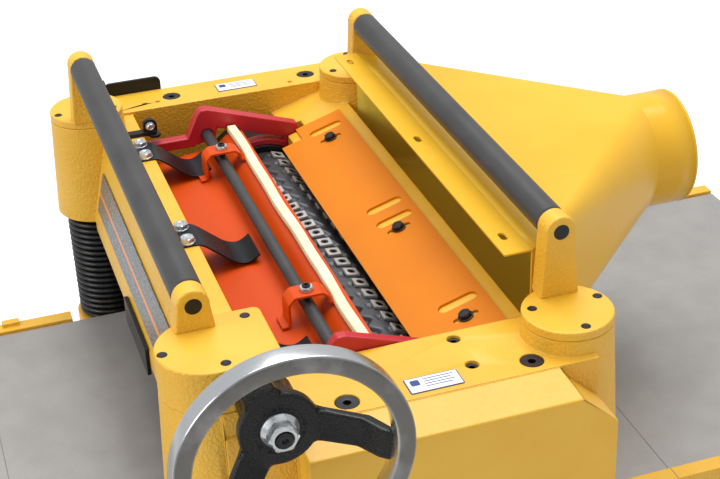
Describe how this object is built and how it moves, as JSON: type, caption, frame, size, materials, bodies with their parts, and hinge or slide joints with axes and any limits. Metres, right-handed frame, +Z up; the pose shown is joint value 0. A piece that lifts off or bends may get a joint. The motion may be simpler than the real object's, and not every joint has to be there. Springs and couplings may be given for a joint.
{
  "type": "thickness planer",
  "caption": "Floor-standing four-post thickness planer with a helical insert cutterhead, powered feed rollers, lifting table with extensions and a round dust port; top cover removed.",
  "frame": {"origin": "centre of the column pattern at floor level, on the stand's closed bottom", "axes": "+Z up, +Y the feed direction towards the dust hood, +X the operator's right, the handwheel side"},
  "size_m": [0.895, 1.304, 1.2228],
  "materials": {
    "yellow_paint": "semi-gloss cast texture",
    "orange_paint": "satin",
    "red_paint": "satin",
    "black_paint": "satin",
    "table_iron": "ground",
    "dark_steel": "dull",
    "bright_steel": "machined",
    "polished_rim": "polished",
    "black_rubber": "matte",
    "carbide": "ground",
    "pale_foam": "matte",
    "bronze": "machined",
    "label_white": "satin",
    "button_green": "gloss",
    "button_red": "gloss"
  },
  "bodies": {
    "frame": {"stand_cabinet": "yellow_paint", "base_casting": "yellow_paint", "posts": "bright_steel", "motor": "black_paint", "drive_belts": "black_rubber", "belt_guard": "yellow_paint", "drive_chains": "dark_steel", "bellows_upper": "black_rubber", "bellows_lower": "black_rubber", "head_casting": "yellow_paint", "column_caps": "yellow_paint", "gear_column_cap": "yellow_paint", "head_fasteners": "dark_steel", "steel_rods": "bright_steel", "bearing_housings": "dark_steel", "rear_plate": "orange_paint", "pressure_bar": "dark_steel", "gear_cover": "yellow_paint", "dust_hood": "yellow_paint", "leaf_springs": "black_paint", "black_brackets": "black_paint", "label_plates": "label_white", "infeed_springs": "bright_steel", "outfeed_springs": "bright_steel", "switch_box": "black_paint"},
    "motor_rotor": {"motor_rotor": "dark_steel"},
    "table": {"table_casting": "table_iron", "table_extensions": "table_iron", "table_nuts": "bronze"},
    "bed_roller_front": {"bed_roller_front": "bright_steel"},
    "bed_roller_rear": {"bed_roller_rear": "bright_steel"},
    "screw_1": {"leadscrew_1": "bright_steel", "worm_wheel": "bronze"},
    "screw_2": {"leadscrew_2": "bright_steel"},
    "screw_3": {"leadscrew_3": "bright_steel"},
    "screw_4": {"leadscrew_4": "bright_steel"},
    "handwheel": {"handwheel": "polished_rim", "handwheel_nut": "bright_steel", "worm_shaft": "bright_steel"},
    "cutterhead": {"cutterhead": "dark_steel", "cutter_inserts": "carbide", "cutter_pulley": "dark_steel"},
    "infeed_carriage": {"infeed_blocks": "dark_steel"},
    "outfeed_carriage": {"outfeed_blocks": "dark_steel"},
    "infeed_roller": {"infeed_roller": "bright_steel"},
    "outfeed_roller": {"outfeed_roller": "bright_steel"},
    "gear_1": {"gear_cluster_1": "bright_steel"},
    "gear_2": {"gear_cluster_2": "bright_steel"},
    "gear_3": {"gear_cluster_3": "bright_steel"},
    "chipbreaker": {"chipbreaker_arms": "red_paint", "chipbreaker_bar": "black_paint", "chipbreaker_plate": "orange_paint", "chipbreaker_shoe": "dark_steel", "seal_strip": "pale_foam", "chipbreaker_brackets": "orange_paint"},
    "kickback_fingers": {"kickback_fingers": "dark_steel"},
    "return_roller_front": {"return_roller_front": "dark_steel"},
    "return_roller_rear": {"return_roller_rear": "dark_steel"},
    "start_button": {"start_button": "button_green"},
    "stop_button": {"stop_button": "button_red"}
  },
  "joints": [
    {"name": "table_lift", "type": "slide", "parent": "frame", "child": "table", "axis": [0, 0, 1], "range_m": [-0.14, 0.075], "deforming": ["bellows_upper", "bellows_lower"]},
    {"name": "bed_roller_front_spin", "type": "hinge", "parent": "table", "child": "bed_roller_front", "pos_m": [0, -0.053, 0.8454], "axis": [1, 0, 0], "continuous": true},
    {"name": "bed_roller_rear_spin", "type": "hinge", "parent": "table", "child": "bed_roller_rear", "pos_m": [0, 0.114, 0.8454], "axis": [1, 0, 0], "continuous": true},
    {"name": "leadscrew_1_spin", "type": "hinge", "parent": "frame", "child": "screw_1", "pos_m": [0.298, -0.161, 0.6], "axis": [0, 0, 1], "continuous": true},
    {"name": "leadscrew_2_spin", "type": "hinge", "parent": "frame", "child": "screw_2", "pos_m": [-0.298, -0.161, 0.6], "axis": [0, 0, 1], "continuous": true},
    {"name": "leadscrew_3_spin", "type": "hinge", "parent": "frame", "child": "screw_3", "pos_m": [0.298, 0.161, 0.6], "axis": [0, 0, 1], "continuous": true},
    {"name": "leadscrew_4_spin", "type": "hinge", "parent": "frame", "child": "screw_4", "pos_m": [-0.298, 0.161, 0.6], "axis": [0, 0, 1], "continuous": true},
    {"name": "handwheel_spin", "type": "hinge", "parent": "frame", "child": "handwheel", "pos_m": [0.4, -0.1282, 1.1282], "axis": [1, 0, 0], "continuous": true},
    {"name": "cutterhead_spin", "type": "hinge", "parent": "frame", "child": "cutterhead", "pos_m": [0, 0.031, 0.998], "axis": [1, 0, 0], "continuous": true},
    {"name": "motor_spin", "type": "hinge", "parent": "frame", "child": "motor_rotor", "pos_m": [-0.2, 0, 0.2], "axis": [1, 0, 0], "continuous": true},
    {"name": "infeed_lift", "type": "slide", "parent": "frame", "child": "infeed_carriage", "axis": [0, 0, 1], "range_m": [0, 0.002], "stiffness_N_per_m": 15000, "springref_m": -0.012, "deforming": ["infeed_springs"]},
    {"name": "outfeed_lift", "type": "slide", "parent": "frame", "child": "outfeed_carriage", "axis": [0, 0, 1], "range_m": [0, 0.002], "stiffness_N_per_m": 15000, "springref_m": -0.012, "deforming": ["outfeed_springs"]},
    {"name": "infeed_roller_spin", "type": "hinge", "parent": "infeed_carriage", "child": "infeed_roller", "pos_m": [0, -0.053, 0.974], "axis": [1, 0, 0], "continuous": true},
    {"name": "outfeed_roller_spin", "type": "hinge", "parent": "outfeed_carriage", "child": "outfeed_roller", "pos_m": [0, 0.114, 0.974], "axis": [1, 0, 0], "continuous": true},
    {"name": "gear_1_spin", "type": "hinge", "parent": "frame", "child": "gear_1", "pos_m": [0.35, -0.005, 1.016], "axis": [1, 0, 0], "continuous": true},
    {"name": "gear_2_spin", "type": "hinge", "parent": "frame", "child": "gear_2", "pos_m": [0.35, 0.025, 1.043], "axis": [1, 0, 0], "continuous": true},
    {"name": "gear_3_spin", "type": "hinge", "parent": "frame", "child": "gear_3", "pos_m": [0.35, 0.065, 1.038], "axis": [1, 0, 0], "continuous": true},
    {"name": "chipbreaker_pivot", "type": "hinge", "parent": "frame", "child": "chipbreaker", "pos_m": [0, 0.031, 0.998], "axis": [1, 0, 0], "range_deg": [-3, 0], "stiffness_Nm_per_rad": 60, "springref_deg": 8.59, "deforming": ["leaf_springs"]},
    {"name": "kickback_fingers_swing", "type": "hinge", "parent": "frame", "child": "kickback_fingers", "pos_m": [0, -0.125, 1], "axis": [1, 0, 0], "range_deg": [0, 45]},
    {"name": "return_roller_front_spin", "type": "hinge", "parent": "frame", "child": "return_roller_front", "pos_m": [0, -0.1635, 1.178], "axis": [1, 0, 0], "continuous": true},
    {"name": "return_roller_rear_spin", "type": "hinge", "parent": "frame", "child": "return_roller_rear", "pos_m": [0, 0.1635, 1.178], "axis": [1, 0, 0], "continuous": true},
    {"name": "start_button_press", "type": "slide", "parent": "frame", "child": "start_button", "axis": [0, 1, 0], "range_m": [0, 0.0015], "stiffness_N_per_m": 400},
    {"name": "stop_button_press", "type": "slide", "parent": "frame", "child": "stop_button", "axis": [0, 1, 0], "range_m": [0, 0.005], "stiffness_N_per_m": 400}
  ],
  "couplings": [
    {"joint": "leadscrew_1_spin", "follows": "table_lift", "rad_per_m": 1570.8},
    {"joint": "leadscrew_2_spin", "follows": "table_lift", "rad_per_m": 1570.8},
    {"joint": "leadscrew_3_spin", "follows": "table_lift", "rad_per_m": 1570.8},
    {"joint": "leadscrew_4_spin", "follows": "table_lift", "rad_per_m": 1570.8},
    {"joint": "handwheel_spin", "follows": "table_lift", "rad_per_m": 3927},
    {"joint": "motor_spin", "follows": "cutterhead_spin", "ratio": 0.67742},
    {"joint": "gear_1_spin", "follows": "cutterhead_spin", "ratio": -0.33333},
    {"joint": "gear_2_spin", "follows": "cutterhead_spin", "ratio": 0.11111},
    {"joint": "gear_3_spin", "follows": "cutterhead_spin", "ratio": -0.037037},
    {"joint": "infeed_roller_spin", "follows": "cutterhead_spin", "ratio": -0.009715},
    {"joint": "outfeed_roller_spin", "follows": "cutterhead_spin", "ratio": -0.009715}
  ]
}
